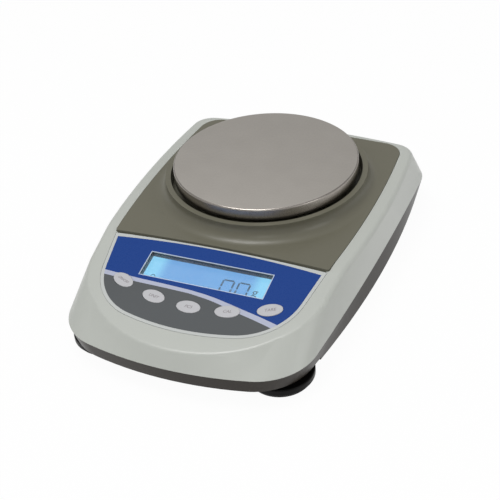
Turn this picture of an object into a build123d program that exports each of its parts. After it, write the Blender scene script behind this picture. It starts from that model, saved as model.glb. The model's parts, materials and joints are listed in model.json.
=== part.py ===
from build123d import *
import os
from math import asin, cos, degrees, radians, sin, sqrt, tan

os.makedirs("parts", exist_ok=True)

# Compact precision balance with a round pan. Millimetres, +Z up, the keys
# towards -Y. The origin is on the bench, under the middle of the body.

# Body shell in plan, where the pale housing meets the dark base
body_length = 276.0
body_half_width = 92.4
side_bow = 2110.0
widest_setback = 63.0
front_bow = 244.0
rear_bow = 574.0
front_corner = 39.0
rear_corner = 22.0
joint_height = 20.8

# The same outline carried up to the crown, which leans in all round
crown_height = 50.0
side_lean = 1.3
crown_side_bow = 507.0
crown_widest_setback = 103.0
crown_front_bow = 90.6
crown_front_corner = 56.0
crown_rear_corner = 15.0
front_rake = 23.2
rear_rake = 21.0

# Walls and fits
wall = 2.5
shoulder_round = 4.0
seam_gap = 0.3
slip_gap = 0.2
thread_gap = 0.05

# Top of the housing: level behind, sloping to the front under the keys
rim_height = 48.0
panel_run = 96.5
crease_round = 60.0
panel_tilt = 11.27

# Base tray
base_clearance = 10.2
skirt_height = 2.2
skirt_flare = 0.9
skirt_side_bow = 735.0
skirt_widest_setback = 106.0
base_front_tuck = 2.8
foot_relief = 51.6
floor_thickness = 2.5
lip_thickness = 1.2
lip_height = 2.5

# Top plate with the raised draught ring
pan_setback = 100.0
plate_side_margin = 9.75
plate_side_bow = 725.0
plate_rear_margin = 24.4
plate_rear_bow = 1000.0
plate_rear_corner = 15.0
plate_front_corner = 1.5
plate_front_bow = 1200.0
plate_thickness = 2.5
plate_proud = 0.2
plate_film_gap = 1.0
ledge_width = 9.0
ledge_thickness = 2.5
ring_inner_radius = 67.6
ring_lip_width = 3.7
ring_height = 11.1
ring_lip_edge = 0.8
ring_foot_radius = 80.0
hub_hole_radius = 14.0
collar_thickness = 2.0
collar_height = 5.0

# Weighing pan, pressed from sheet
pan_radius = 65.0
pan_sheet = 1.0
pan_depth = 8.2
pan_edge_round = 1.6

# Pan support
arm_width = 12.0
arm_thickness = 4.5
arm_reach = 57.0
hub_radius = 9.0
cushion_radius = 6.0
cushion_circle = 50.0
cushion_height = 3.0
cushion_seat = 0.5

# Load cell and what carries it
cell_length = 80.0
cell_width = 20.0
cell_height = 14.0
cell_hole_radius = 4.5
cell_hole_spacing = 16.0
cell_slot = 3.0
cell_block_length = 20.0
cell_screw_spacing = 10.0
cell_spacer_height = 2.0
sealant_thickness = 1.0
chassis_half_width = 45.0
chassis_margin = 6.0
chassis_thickness = 3.0
chassis_standoff = 4.0
chassis_boss_radius = 5.0
load_travel = 0.5
platform_thickness = 3.0
platform_half_width = 17.0
platform_spacer_height = 1.8

# Film, window and keys, measured down the slope from the crease
film_top = 4.6
film_top_bow = 1100.0
film_length = 71.6
film_side_inset = 5.35
film_taper = 0.165
film_front_bow = 165.6
film_corner = 44.0
film_thickness = 0.5
window_drop = 13.0
window_width = 86.6
window_height = 20.1
key_drop = 51.2
key_pitch = 25.7
key_arc = 131.0
key_half_length = 8.15
key_half_width = 4.75
key_proud = 0.3
key_travel = 0.5
key_flange = 1.2
key_flange_thickness = 0.8
key_stem_radius = 2.0

# Display stack under the window
frame_rim = 1.5
lens_thickness = 1.0
lcd_depth = 5.0
lcd_margin = 2.5
lcd_thickness = 2.6
backlight_thickness = 3.3
board_thickness = 1.6
display_board_half_width = 57.0
display_board_top = 12.0
display_board_length = 58.0
board_post_radius = 2.6
switch_size = 6.0
switch_body = 3.5
switch_plunger_radius = 1.6
switch_plunger = 1.0

# Main board on the base floor
main_board_width = 90.0
main_board_length = 50.0
main_board_gap = 20.0
main_board_lift = 5.3
board_post_inset = 5.0
ribbon_width = 20.0
ribbon_thickness = 0.8
lead_radius = 1.5

# Power inlet in a recess of the rear wall
inlet_x = -30.0
inlet_height = 34.5
inlet_recess_width = 24.0
inlet_recess_height = 15.0
inlet_recess_depth = 20.0
jack_radius = 4.0
jack_length = 12.0
jack_flange_radius = 5.5
jack_flange = 1.2
jack_bore_radius = 3.2
jack_bore_depth = 9.0
jack_pin_radius = 1.0
jack_pin_length = 7.5
jack_nut_height = 2.0

# Levelling feet in front, fixed feet behind
foot_side_inset = 30.8
foot_front_inset = 38.5
foot_travel = 5.0
pad_radius = 20.0
pad_thickness = 2.2
pad_neck_radius = 6.0
pad_neck = 1.6
wheel_radius = 22.0
wheel_thickness = 5.0
wheel_hub_radius = 8.0
wheel_hub = 1.6
wheel_round = 1.0
stud_radius = 3.0
stud_spare = 0.8
insert_radius = 4.25
insert_length = 8.0
boss_wall = 2.75
rear_foot_side_inset = 34.4
rear_foot_inset = 46.0
rear_foot_radius = 9.0
rear_foot_boss = 11.0
rear_foot_seat = 1.5
rear_foot_height = 4.5

# Screws
case_screw_radius = 1.5
case_screw_head = 2.8
case_screw_head_height = 2.2
case_screw_bite = 8.0
case_post_radius = 4.0
case_boss_radius = 4.6
case_screw_front_x = 36.0
case_screw_end_inset = 20.0
case_screw_side_inset = 10.4
case_screw_corner_inset = 30.0
case_screw_corner_shift = 10.0
case_screw_side_setback = 118.0
m4_radius = 2.0
m4_head = 3.5
m4_head_height = 3.2
m5_radius = 2.5
m5_head = 4.25
m5_head_height = 5.0
m5_nut_flats = 8.0
m5_nut_height = 3.0
board_screw_radius = 1.25
board_screw_head = 2.3
board_screw_head_height = 1.6
board_screw_bite = 5.0
plate_screw_side_inset = 6.35
plate_screw_front_inset = 33.0
plate_screw_rear_inset = 25.6
plate_boss_radius = 3.0
plate_boss_gap = 0.3
plate_screw_head = 4.5

# Places worked out from the sizes above
front_y = -body_length / 2
rear_y = body_length / 2
crown_half_width = body_half_width - side_lean
crease_y = front_y + panel_run
pan_axis_y = rear_y - pan_setback
plate_half_width = crown_half_width - plate_side_margin
plate_rear_y = rear_y - plate_rear_margin
film_half_width = plate_half_width - film_side_inset
foot_x = body_half_width - foot_side_inset
foot_y = front_y + foot_front_inset
foot_relief_y = front_y + foot_relief
rear_foot_x = body_half_width - rear_foot_side_inset
rear_foot_y = rear_y - rear_foot_inset
inlet_recess_y = rear_y - inlet_recess_depth
plate_top = rim_height + plate_proud
plate_underside = plate_top - plate_thickness
floor_top = base_clearance + floor_thickness
ring_top = plate_top + ring_height
pan_top = ring_top + pan_depth
pan_underside = pan_top - pan_sheet
slope_cos = cos(radians(panel_tilt))
slope_sin = sin(radians(panel_tilt))
film_edge_y = crease_y - film_top * slope_cos
plate_front_y = film_edge_y + plate_film_gap
panel_thickness = wall * slope_cos
window_v = film_top + window_drop + window_height / 2
lcd_back = lcd_depth + lcd_thickness + backlight_thickness
key_v = film_top + key_drop
switch_top = lcd_back - switch_body - switch_plunger
chassis_bottom = floor_top + chassis_standoff
chassis_top = chassis_bottom + chassis_thickness
cell_bottom = chassis_top + cell_spacer_height
cell_top = cell_bottom + cell_height
platform_bottom = cell_top + platform_spacer_height
platform_top = platform_bottom + platform_thickness
cell_front_y = pan_axis_y - cell_length / 2
cell_rear_y = pan_axis_y + cell_length / 2
main_board_y = cell_front_y - chassis_margin - main_board_gap - main_board_length / 2
main_board_bottom = floor_top + main_board_lift
main_board_top = main_board_bottom + board_thickness
arm_top = pan_underside - cushion_height + cushion_seat
far = 3 * body_length


def save(name, *solids):
    """Write one sub-part, made of one or more separate solids."""
    export_step(Compound(children=[s for s in solids]), f"parts/{name}.step")


def rod(x, y, low, high, radius):
    """Upright cylinder between two heights."""
    centred = (Align.CENTER, Align.CENTER, Align.MIN)
    return Pos(x, y, low) * Cylinder(radius, high - low, align=centred)


def block(x, y, low, high, width, length):
    """Upright block between two heights, centred on x and y."""
    centred = (Align.CENTER, Align.CENTER, Align.MIN)
    return Pos(x, y, low) * Box(width, length, high - low, align=centred)


def on_panel(u, v, depth):
    """Place on the sloping panel: u across, v down the slope, depth into the body."""
    panel = Plane(origin=(0, crease_y, rim_height), x_dir=(1, 0, 0), z_dir=(0, -slope_sin, slope_cos))
    return panel.location * Pos(u, -v, -depth)


def panel_rod(u, v, top, bottom, radius):
    """Cylinder square to the panel between two depths."""
    upright = (Align.CENTER, Align.CENTER, Align.MIN)
    return on_panel(u, v, bottom) * Cylinder(radius, bottom - top, align=upright)


def panel_block(u, v, top, bottom, width, height):
    """Block square to the panel between two depths."""
    upright = (Align.CENTER, Align.CENTER, Align.MIN)
    return on_panel(u, v, bottom) * Box(width, height, bottom - top, align=upright)


def panel_oval(u, v, top, bottom, grow):
    """Oval of a key between two depths, its long axis along the arc of keys."""
    turn = degrees(asin(u / key_arc))
    oval = extrude(Ellipse(key_half_length + grow, key_half_width + grow), bottom - top)
    return on_panel(u, v, bottom) * Rot(0, 0, turn) * oval


def bowed_plan(half_width, side, side_y, front, front_radius, rear, rear_radius, corners, inset=0.0):
    """Outline of four bowed sides with rounded corners, moved in by inset."""
    reach = side - half_width
    right = Pos(-reach, side_y) * Rot(0, 0, 180) * Circle(side - inset)
    left = Pos(reach, side_y) * Circle(side - inset)
    middle_y = front + front_radius
    behind = Pos(0, middle_y + far / 2) * Rectangle(far, far)
    fore = Pos(0, middle_y) * Circle(front_radius - inset) + behind
    aft = Pos(0, rear - rear_radius) * Circle(rear_radius - inset)
    face = right & left & fore & aft
    face = fillet(face.vertices().sort_by(Axis.Y)[:2], corners[0] - inset)
    return fillet(face.vertices().sort_by(Axis.Y)[-2:], corners[1] - inset)


def joint_plan(inset):
    """Outline at the joint between housing and base."""
    return bowed_plan(
        body_half_width, side_bow, rear_y - widest_setback, front_y, front_bow, rear_y, rear_bow,
        (front_corner, rear_corner), inset)


def crown_plan(inset):
    """Outline at the crown."""
    return bowed_plan(
        crown_half_width, crown_side_bow, rear_y - crown_widest_setback, front_y + front_rake, crown_front_bow,
        rear_y - rear_rake, rear_bow, (crown_front_corner, crown_rear_corner), inset)


def skirt_plan(inset):
    """Outline at the foot of the base skirt."""
    return bowed_plan(
        body_half_width + skirt_flare, skirt_side_bow, rear_y - skirt_widest_setback,
        front_y + base_front_tuck, front_bow, rear_y, rear_bow, (front_corner, rear_corner), inset)


def under_top(drop):
    """Everything below the top surface, lowered by drop."""
    level = rim_height - drop
    front_end = (-far, level - (crease_y + far) * tan(radians(panel_tilt)))
    top = FilletPolyline((far, level), (crease_y, level), front_end, radius=crease_round)
    rest = Polyline(front_end, (-far, -far), (far, -far), (far, level))
    side = Plane.YZ * make_face([*top.edges(), *rest.edges()])
    return extrude(side, amount=far, both=True)


def housing_block(inset):
    """The housing's outer form, solid, moved in by inset."""
    sections = [
        Pos(0, 0, joint_height) * joint_plan(inset),
        Pos(0, 0, crown_height) * crown_plan(inset),
    ]
    return loft(sections, ruled=True) & under_top(inset)


def rounded_housing():
    """The housing's outer form with its shoulder rounded."""
    body = housing_block(0.0)
    upper = [f for f in body.faces() if f.normal_at().Z > 0.9]
    rims = [e for f in upper for e in f.edges() if e.geom_type != GeomType.LINE]
    return fillet(ShapeList(rims), shoulder_round)


def plate_plan(inset):
    """Outline of the top plate."""
    reach = plate_side_bow - plate_half_width
    right = Pos(-reach, pan_axis_y) * Rot(0, 0, 180) * Circle(plate_side_bow - inset)
    left = Pos(reach, pan_axis_y) * Circle(plate_side_bow - inset)
    aft = Pos(0, plate_rear_y - plate_rear_bow) * Circle(plate_rear_bow - inset)
    front = Pos(0, plate_front_y - plate_front_bow) * Circle(plate_front_bow + inset)
    face = (right & left & aft) - front
    face = max(face.faces(), key=lambda f: f.center().Y)
    face = fillet(face.vertices().sort_by(Axis.Y)[:2], plate_front_corner)
    return fillet(face.vertices().sort_by(Axis.Y)[-2:], max(plate_rear_corner - inset, 1.0))


def film_plan(grow):
    """Outline of the printed film, in panel coordinates."""
    half = film_half_width
    foot = half - film_taper * film_length
    low = -film_top - film_length
    spread = film_taper * film_length
    sides = Polygon((-foot, low), (foot, low), (half + spread, low + 2 * film_length),
                    (-half - spread, low + 2 * film_length), align=None)
    lower = Pos(0, low + film_front_bow) * Circle(film_front_bow)
    upper = Pos(0, -film_top - film_top_bow) * Circle(film_top_bow)
    face = sides & lower & upper
    face = fillet(face.vertices().sort_by(Axis.Y)[:2], film_corner)
    return offset(face, grow, kind=Kind.INTERSECTION)


def key_places():
    """Centres of the five keys on the panel, left to right."""
    spots = []
    for step in range(-2, 3):
        u = step * key_pitch
        rise = key_arc - sqrt(key_arc**2 - u**2)
        spots.append((u, key_v - rise))
    return spots


def display_post_places():
    """Centres of the four display board posts on the panel."""
    outer = display_board_half_width - board_post_radius - 1.0
    upper = display_board_top + board_post_inset
    lower = display_board_top + display_board_length - board_post_inset
    inner = 1.5 * key_pitch
    return [(-outer, upper), (outer, upper), (-inner, lower), (inner, lower)]


def case_screw_places():
    """Centres of the screws that join base and housing."""
    side_x = body_half_width - case_screw_side_inset
    spots = [
        (case_screw_front_x, front_y + case_screw_end_inset),
        (side_x, rear_y - case_screw_side_setback),
        (side_x - case_screw_corner_shift, rear_y - case_screw_corner_inset),
    ]
    return [(side * x, y) for x, y in spots for side in (-1, 1)]


def plate_screw_places():
    """Centres of the screws under the top plate's ledge."""
    x = plate_half_width - plate_screw_side_inset
    ends = [plate_front_y + plate_screw_front_inset, plate_rear_y - plate_screw_rear_inset]
    return [(side * x, y) for side in (-1, 1) for y in ends]


def main_board_places():
    """Centres of the main board's posts."""
    x = main_board_width / 2 - board_post_inset
    y = main_board_length / 2 - board_post_inset
    return [(i * x, main_board_y + j * y) for i in (-1, 1) for j in (-1, 1)]


def chassis_places():
    """Centres of the chassis plate's bosses."""
    x = chassis_half_width - chassis_boss_radius - 1.0
    y = cell_length / 2 - 2.0
    return [(i * x, pan_axis_y + j * y) for i in (-1, 1) for j in (-1, 1)]


def cell_screw_offsets():
    """Distances of a pair of load cell screws from the end of the cell."""
    middle = cell_block_length / 2
    return [middle - cell_screw_spacing / 2, middle + cell_screw_spacing / 2]


def make_screw(x, y, seat, shank, bite, head, head_height, way):
    """Screw whose head sits at a height and whose shank runs up (1) or down (-1)."""
    body = rod(x, y, min(seat, seat + way * bite), max(seat, seat + way * bite), shank)
    top = seat - way * head_height
    cap = rod(x, y, min(seat, top), max(seat, top), head)
    socket_depth = 0.55 * head_height
    bottom = top + way * socket_depth
    socket = extrude(Pos(x, y, min(top, bottom)) * RegularPolygon(0.5 * head, 6), socket_depth)
    return body + cap - socket


def make_lower_base():
    """Dark tray: floor, walls, skirt, locating lip and bosses."""
    skirt_bottom = base_clearance - skirt_height
    outer = loft([Pos(0, 0, skirt_bottom) * skirt_plan(0), Pos(0, 0, joint_height) * joint_plan(0)], ruled=True)
    inner = loft([Pos(0, 0, skirt_bottom) * skirt_plan(wall), Pos(0, 0, joint_height) * joint_plan(wall)],
                 ruled=True)
    tray = outer - (inner & block(0, 0, floor_top, far, far, far))
    tray -= inner & block(0, 0, 0, base_clearance, far, far)
    tray -= block(0, foot_relief_y - far / 2, 0, base_clearance, far, far)
    lip = housing_block(wall + seam_gap) - housing_block(wall + seam_gap + lip_thickness)
    lip &= block(0, 0, joint_height, joint_height + lip_height, far, far)
    lip_root = joint_plan(wall / 2) - joint_plan(wall + seam_gap + lip_thickness)
    tray += extrude(Pos(0, 0, joint_height - wall) * lip_root, wall) + lip
    for x, y in case_screw_places():
        tray += rod(x, y, base_clearance, joint_height, case_boss_radius)
    for side in (-1, 1):
        tray += rod(side * foot_x, foot_y, base_clearance, base_clearance + insert_length,
                    insert_radius + boss_wall)
        tray += rod(side * rear_foot_x, rear_foot_y, rear_foot_height - rear_foot_seat, floor_top,
                    rear_foot_boss)
    for x, y in chassis_places():
        tray += rod(x, y, base_clearance, chassis_bottom, chassis_boss_radius)
    for x, y in main_board_places():
        tray += rod(x, y, base_clearance, main_board_bottom, board_post_radius)
    return cut_base_holes(tray)


def cut_base_holes(tray):
    """Screw holes, insert seats and foot pockets of the base."""
    head_top = base_clearance + case_screw_head_height + 1.0
    for x, y in case_screw_places():
        tray -= rod(x, y, 0, head_top, case_screw_head + slip_gap)
        tray -= rod(x, y, 0, far, case_screw_radius + slip_gap)
    for side in (-1, 1):
        tray -= rod(side * foot_x, foot_y, 0, far, insert_radius + thread_gap)
        tray -= rod(side * rear_foot_x, rear_foot_y, 0, rear_foot_height, rear_foot_radius + slip_gap)
    for x, y in chassis_places():
        tray -= rod(x, y, chassis_bottom - board_screw_bite, far, board_screw_radius + thread_gap)
    for x, y in main_board_places():
        tray -= rod(x, y, main_board_bottom - board_screw_bite, far, board_screw_radius + thread_gap)
    return tray


def make_upper_housing():
    """Pale housing: shell, ledge for the plate, posts and the panel's openings."""
    outer = rounded_housing()
    shell = outer - housing_block(wall)
    ledge = extrude(plate_plan(-wall) - plate_plan(ledge_width), rim_height)
    ledge = Pos(0, 0, plate_underside - ledge_thickness) * ledge
    shell += ledge & outer
    for x, y in case_screw_places():
        shell += rod(x, y, joint_height, rim_height, case_post_radius) & outer
    for u, v in display_post_places():
        shell += panel_rod(u, v, wall / 2, lcd_back, board_post_radius)
    shell += inlet_recess(wall) & outer
    shell -= inlet_recess(0)
    return cut_housing_openings(shell)


def inlet_recess(grow):
    """Pocket in the rear wall around the power inlet, grown by a wall."""
    low = inlet_height - inlet_recess_height / 2 - grow
    high = inlet_height + inlet_recess_height / 2 + grow
    face_y = inlet_recess_y - grow
    return block(inlet_x, (face_y + far) / 2, low, high, inlet_recess_width + 2 * grow, far - face_y)


def cut_housing_openings(shell):
    """Pocket for the plate, seat for the film, window, key holes and screw holes."""
    pocket = plate_plan(-seam_gap)
    groove = Pos(0, plate_front_y - 1) * Rectangle(2 * film_half_width - 2, 8)
    groove -= Pos(0, film_edge_y - film_top_bow) * Circle(film_top_bow)
    shell -= Pos(0, 0, plate_underside) * (extrude(pocket, far) + extrude(groove, far))
    shell -= Pos(0, 0, plate_underside - far) * extrude(plate_plan(ledge_width), far)
    shell -= extrude(on_panel(0, 0, film_thickness) * film_plan(seam_gap), far / 10)
    shell -= panel_block(0, window_v, -1, lcd_back, window_width + 2 * frame_rim + 2 * slip_gap,
                         window_height + 2 * frame_rim + 2 * slip_gap)
    for u, v in key_places():
        shell -= panel_oval(u, v, -1, panel_thickness + wall, seam_gap)
    for u, v in display_post_places():
        shell -= panel_rod(u, v, lcd_back - board_screw_bite, lcd_back + 1, board_screw_radius + thread_gap)
    for x, y in case_screw_places():
        shell -= rod(x, y, 0, joint_height + case_screw_bite + 1.0, case_screw_radius + thread_gap)
    for x, y in plate_screw_places():
        shell -= rod(x, y, 0, plate_underside, plate_boss_radius + plate_boss_gap)
    jack = Pos(inlet_x, inlet_recess_y, inlet_height) * Rot(90, 0, 0)
    return shell - jack * Cylinder(jack_radius + slip_gap, 4 * wall)


def make_top_plate():
    """Taupe plate with the draught ring, the well floor and the drip collar."""
    plate = Pos(0, 0, plate_underside) * extrude(plate_plan(0), plate_thickness)
    lip_radius = ring_inner_radius + ring_lip_width
    edge = ring_top - ring_lip_edge
    run = ring_foot_radius - lip_radius
    rise = edge - plate_top
    cove_radius = (run**2 + rise**2) / (2 * rise)
    middle = ring_foot_radius - cove_radius * sin(radians(45))
    middle_z = plate_top + cove_radius * (1 - cos(radians(45)))
    profile = make_face([
        *Polyline((ring_foot_radius, plate_top), (ring_foot_radius, plate_underside),
                  (ring_inner_radius, plate_underside), (ring_inner_radius, ring_top),
                  (lip_radius, ring_top), (lip_radius, edge)).edges(),
        ThreePointArc((lip_radius, edge), (middle, middle_z), (ring_foot_radius, plate_top)),
    ])
    ring = Pos(0, pan_axis_y) * revolve(Plane.XZ * profile, Axis.Z)
    plate += ring & extrude(plate_plan(0), far)
    plate += rod(0, pan_axis_y, plate_underside, plate_top + collar_height,
                 hub_hole_radius + collar_thickness)
    plate -= rod(0, pan_axis_y, 0, far, hub_hole_radius)
    for x, y in plate_screw_places():
        plate += rod(x, y, plate_underside - ledge_thickness, plate_top - 1.0, plate_boss_radius)
        plate -= rod(x, y, 0, plate_top - 1.0, board_screw_radius + thread_gap)
    return plate


def make_plate_screws():
    """Washer-head screws up through the ledge into the plate's bosses."""
    seat = plate_underside - ledge_thickness
    bite = plate_thickness + ledge_thickness - 1.2
    return [make_screw(x, y, seat, board_screw_radius, bite, plate_screw_head, board_screw_head_height, 1)
            for x, y in plate_screw_places()]


def make_panel_film():
    """Printed film with its window and key holes."""
    film = extrude(on_panel(0, 0, film_thickness) * film_plan(0), film_thickness)
    film -= panel_block(0, window_v, -1, 1, window_width, window_height)
    for u, v in key_places():
        film -= panel_oval(u, v, -1, 1, slip_gap)
    return film


def make_display_window():
    """Clear lens bonded under the film."""
    return panel_block(0, window_v, film_thickness, film_thickness + lens_thickness,
                       window_width + 2 * frame_rim, window_height + 2 * frame_rim)


def make_display_frame():
    """Dark frame that lines the recess between lens and glass."""
    top = film_thickness + lens_thickness
    frame = panel_block(0, window_v, top, lcd_depth, window_width + 2 * frame_rim,
                        window_height + 2 * frame_rim)
    return frame - panel_block(0, window_v, 0, far / 10, window_width + slip_gap, window_height + slip_gap)


def make_lcd_layer(top, bottom):
    """Glass or light guide of the display."""
    grow = 2 * (frame_rim + lcd_margin)
    return panel_block(0, window_v, top, bottom, window_width + grow, window_height + grow)


def make_display_board():
    """Circuit board behind the display and the keys."""
    middle = display_board_top + display_board_length / 2
    board = panel_block(0, middle, lcd_back, lcd_back + board_thickness, 2 * display_board_half_width,
                        display_board_length)
    for u, v in display_post_places():
        board -= panel_rod(u, v, 0, far / 10, board_screw_radius + slip_gap)
    return board


def make_display_screws():
    """Screws that hold the display board to its posts."""
    seat = lcd_back + board_thickness
    screws = []
    for u, v in display_post_places():
        shank = panel_rod(u, v, seat - board_screw_bite, seat, board_screw_radius)
        screws.append(shank + panel_rod(u, v, seat, seat + board_screw_head_height, board_screw_head))
    return screws


def make_key_switch(u, v):
    """Push switch under one key."""
    body = panel_block(u, v, lcd_back - switch_body, lcd_back, switch_size, switch_size)
    return body + panel_rod(u, v, switch_top, lcd_back - switch_body, switch_plunger_radius)


def make_key(u, v):
    """Key cap with its retaining flange and stem."""
    flange_top = panel_thickness + slip_gap
    flange_bottom = flange_top + key_flange_thickness
    cap = panel_oval(u, v, -key_proud, flange_bottom, 0)
    crown = cap.faces().sort_by(Axis.Z)[-1]
    cap = fillet(crown.edges(), key_proud / 2)
    flange = panel_oval(u, v, flange_top, flange_bottom, key_flange)
    stem = panel_rod(u, v, flange_bottom, switch_top - key_travel - thread_gap, key_stem_radius)
    return cap + flange + stem


def make_chassis_plate():
    """Plate that carries the load cell on the base floor."""
    length = cell_length + 2 * chassis_margin
    plate = block(0, pan_axis_y, chassis_bottom, chassis_top, 2 * chassis_half_width, length)
    for x, y in chassis_places():
        plate -= rod(x, y, 0, far, board_screw_radius + slip_gap)
    for step in cell_screw_offsets():
        plate -= rod(0, cell_rear_y - step, 0, far, m4_radius + slip_gap)
    return plate - rod(0, cell_front_y + cell_block_length / 2, 0, far, m5_radius + thread_gap)


def make_load_cell():
    """Bending beam with the paired holes that make it flex."""
    cell = block(0, pan_axis_y, cell_bottom, cell_top, cell_width, cell_length)
    middle = (cell_bottom + cell_top) / 2
    across = Rot(0, 90, 0) * Cylinder(cell_hole_radius, 2 * cell_width)
    for side in (-1, 1):
        cell -= Pos(0, pan_axis_y + side * cell_hole_spacing / 2, middle) * across
    cell -= Pos(0, pan_axis_y, middle) * Box(2 * cell_width, cell_hole_spacing, cell_slot)
    for step in cell_screw_offsets():
        cell -= rod(0, cell_rear_y - step, 0, cell_bottom + cell_height / 2, m4_radius + thread_gap)
        cell -= rod(0, cell_front_y + step, cell_bottom + cell_height / 2, far, m4_radius + thread_gap)
    return cell


def make_cell_screws():
    """Screws up through the chassis and spacer into the fixed end."""
    bite = chassis_thickness + cell_spacer_height + cell_height / 2 - 1.0
    return [make_screw(0, cell_rear_y - step, chassis_bottom, m4_radius, bite, m4_head, m4_head_height, 1)
            for step in cell_screw_offsets()]


def make_platform_screws():
    """Screws down through the platform into the live end."""
    bite = platform_thickness + platform_spacer_height + cell_height / 2 - 1.0
    return [make_screw(0, cell_front_y + step, platform_top, m4_radius, bite, m4_head, m4_head_height, -1)
            for step in cell_screw_offsets()]


def make_spacer(end_y, way, low, high, screw):
    """Small block between an end of the load cell and its neighbour."""
    spacer = block(0, end_y + way * cell_block_length / 2, low, high, cell_width, cell_block_length)
    for step in cell_screw_offsets():
        spacer -= rod(0, end_y + way * step, 0, far, screw + slip_gap)
    return spacer


def make_platform_plate():
    """Plate on the live end that reaches back under the pan's centre."""
    reach = pan_axis_y + platform_half_width - cell_front_y
    plate = block(0, cell_front_y + reach / 2, platform_bottom, platform_top, 2 * platform_half_width, reach)
    for step in cell_screw_offsets():
        plate -= rod(0, cell_front_y + step, 0, far, m4_radius + slip_gap)
    return plate - rod(0, pan_axis_y, 0, far, m5_radius + thread_gap)


def make_pan_support():
    """Four-armed casting on a central column."""
    support = rod(0, pan_axis_y, platform_top, arm_top, hub_radius)
    for quarter in range(4):
        arm = Pos(arm_reach / 2 - arm_width / 4, 0, arm_top - arm_thickness / 2)
        arm *= Box(arm_reach - arm_width / 2, arm_width, arm_thickness)
        tip = rod(arm_reach - arm_width / 2, 0, arm_top - arm_thickness, arm_top, arm_width / 2)
        turned = Pos(0, pan_axis_y) * Rot(0, 0, 45 + 90 * quarter)
        support += turned * (arm + tip)
        support -= turned * rod(cushion_circle, 0, arm_top - cushion_seat, far, cushion_radius + slip_gap)
    support -= rod(0, pan_axis_y, 0, far, m5_radius + slip_gap)
    return support - rod(0, pan_axis_y, arm_top - m5_head_height, far, m5_head + slip_gap)


def make_pan_support_screw():
    """Long screw down the column into the platform."""
    seat = arm_top - m5_head_height
    bite = seat - platform_bottom - 0.5
    return make_screw(0, pan_axis_y, seat, m5_radius, bite, m5_head, m5_head_height, -1)


def make_cushions():
    """Soft buffers between the support's arms and the pan."""
    low = arm_top - cushion_seat
    place = Pos(0, pan_axis_y)
    return [place * Rot(0, 0, 45 + 90 * q) * rod(cushion_circle, 0, low, pan_underside, cushion_radius)
            for q in range(4)]


def make_weighing_pan():
    """Pressed round pan with a turned-down rim."""
    outside = rod(0, pan_axis_y, ring_top, pan_top, pan_radius)
    outside = fillet(outside.edges().group_by(Axis.Z)[-1], pan_edge_round)
    inside = rod(0, pan_axis_y, ring_top, pan_underside, pan_radius - pan_sheet)
    inside = fillet(inside.edges().group_by(Axis.Z)[-1], pan_edge_round - pan_sheet)
    return outside - inside


def make_overload_stop():
    """Set screw under the live end and its lock nut."""
    y = cell_front_y + cell_block_length / 2
    low = chassis_bottom - m5_nut_height - 0.5
    screw = rod(0, y, low, cell_bottom - load_travel, m5_radius)
    screw -= Pos(0, y, low) * extrude(RegularPolygon(0.5 * m5_radius, 6), m5_radius)
    nut = Pos(0, y, chassis_bottom - m5_nut_height) * extrude(
        RegularPolygon(m5_nut_flats / 2, 6, major_radius=False), m5_nut_height)
    return screw, nut - rod(0, y, 0, far, m5_radius + thread_gap)


def make_sealant():
    """Potting over the strain gauges, above and below the thin webs."""
    length = cell_hole_spacing + 2 * cell_hole_radius
    width = cell_width - 4.0
    upper = block(0, pan_axis_y, cell_top, cell_top + sealant_thickness, width, length)
    lower = block(0, pan_axis_y, cell_bottom - sealant_thickness, cell_bottom, width, length)
    return upper, lower


def make_main_board():
    """Circuit board with the converter, processor and power supply."""
    board = block(0, main_board_y, main_board_bottom, main_board_top, main_board_width, main_board_length)
    for x, y in main_board_places():
        board -= rod(x, y, 0, far, board_screw_radius + slip_gap)
    return board


def make_board_components():
    """Chips, capacitors and connectors on the main board."""
    y = main_board_y
    z = main_board_top
    rear = y + main_board_length / 2
    edge = main_board_width / 2
    solids = [
        block(-6, y - 6, z, z + 1.6, 12, 12),
        block(14, y - 4, z, z + 1.8, 8, 10),
        block(-24, y + 4, z, z + 4.4, 10, 5),
        block(edge - 19, y + 10, z, z + 2.5, 11, 5),
        rod(-edge + 25, rear - 12, z, z + 9, 4),
        rod(-edge + 14, rear - 12, z, z + 9, 4),
    ]
    solids += [block(x, rear - 3, z, z + 5, 12, 6) for x in (edge - 15, -8)]
    return solids + [block(0, ribbon_low_y(), z, z + 3, ribbon_width + 4, 4)]


def ribbon_low_y():
    """Where the ribbon leaves the main board."""
    return main_board_y - main_board_length / 2 + 4.0


def make_ribbon_cable():
    """Flat cable between the two boards, in one gentle fold."""
    low = (ribbon_low_y(), main_board_top + 3.0)
    v = display_board_top + display_board_length / 2
    under = lcd_back + board_thickness
    high_y = crease_y - v * slope_cos + under * slope_sin
    high_z = rim_height - v * slope_sin - under * slope_cos
    path = Spline((0, *low), (0, high_y, high_z), tangents=[(0, 0, 1), (0, -slope_sin, slope_cos)])
    start = Plane(origin=path @ 0, x_dir=(1, 0, 0), z_dir=path % 0)
    return sweep(start * Rectangle(ribbon_width, ribbon_thickness), path)


def rounded_lead(points):
    """Round cable along straight runs joined by arcs."""
    radii = []
    for a, b, c in zip(points, points[1:], points[2:]):
        before = Vector(*b) - Vector(*a)
        after = Vector(*c) - Vector(*b)
        half_turn = radians(before.get_angle(after)) / 2
        shorter = min(before.length, after.length)
        radii.append(0.45 * shorter / tan(half_turn))
    path = FilletPolyline(*points, radius=radii)
    start = Plane(origin=path @ 0, z_dir=path % 0)
    return sweep(start * Circle(lead_radius), path)


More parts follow.
